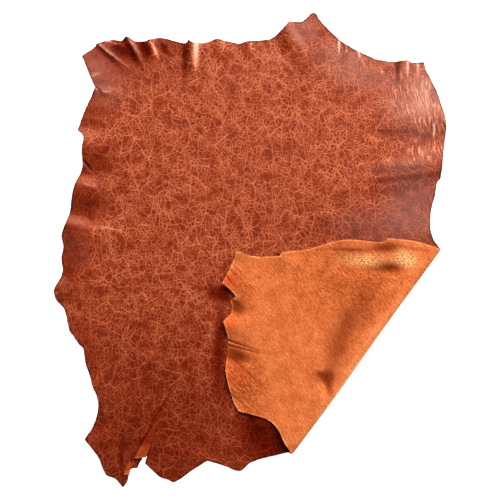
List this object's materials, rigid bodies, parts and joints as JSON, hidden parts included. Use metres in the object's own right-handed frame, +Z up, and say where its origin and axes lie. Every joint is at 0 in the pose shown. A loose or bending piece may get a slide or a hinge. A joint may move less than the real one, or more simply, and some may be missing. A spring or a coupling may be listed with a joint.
{
  "type": "leather hide",
  "caption": "Whole tanned leather hide lying grain side up, with a crackled red-brown finish and one lower corner turned over to show the orange suede flesh side.",
  "frame": {"origin": "middle of the hide's outline box, on the surface that it rests on", "axes": "+X across the hide to the right, +Y along its length towards the neck, +Z up, away from the surface"},
  "size_m": [0.7837, 0.9481, 0.0144],
  "materials": {
    "leather": "glossy crackled red-brown grain, matt orange suede flesh side"
  },
  "bodies": {
    "root": {"hide": "leather"}
  },
  "joints": []
}
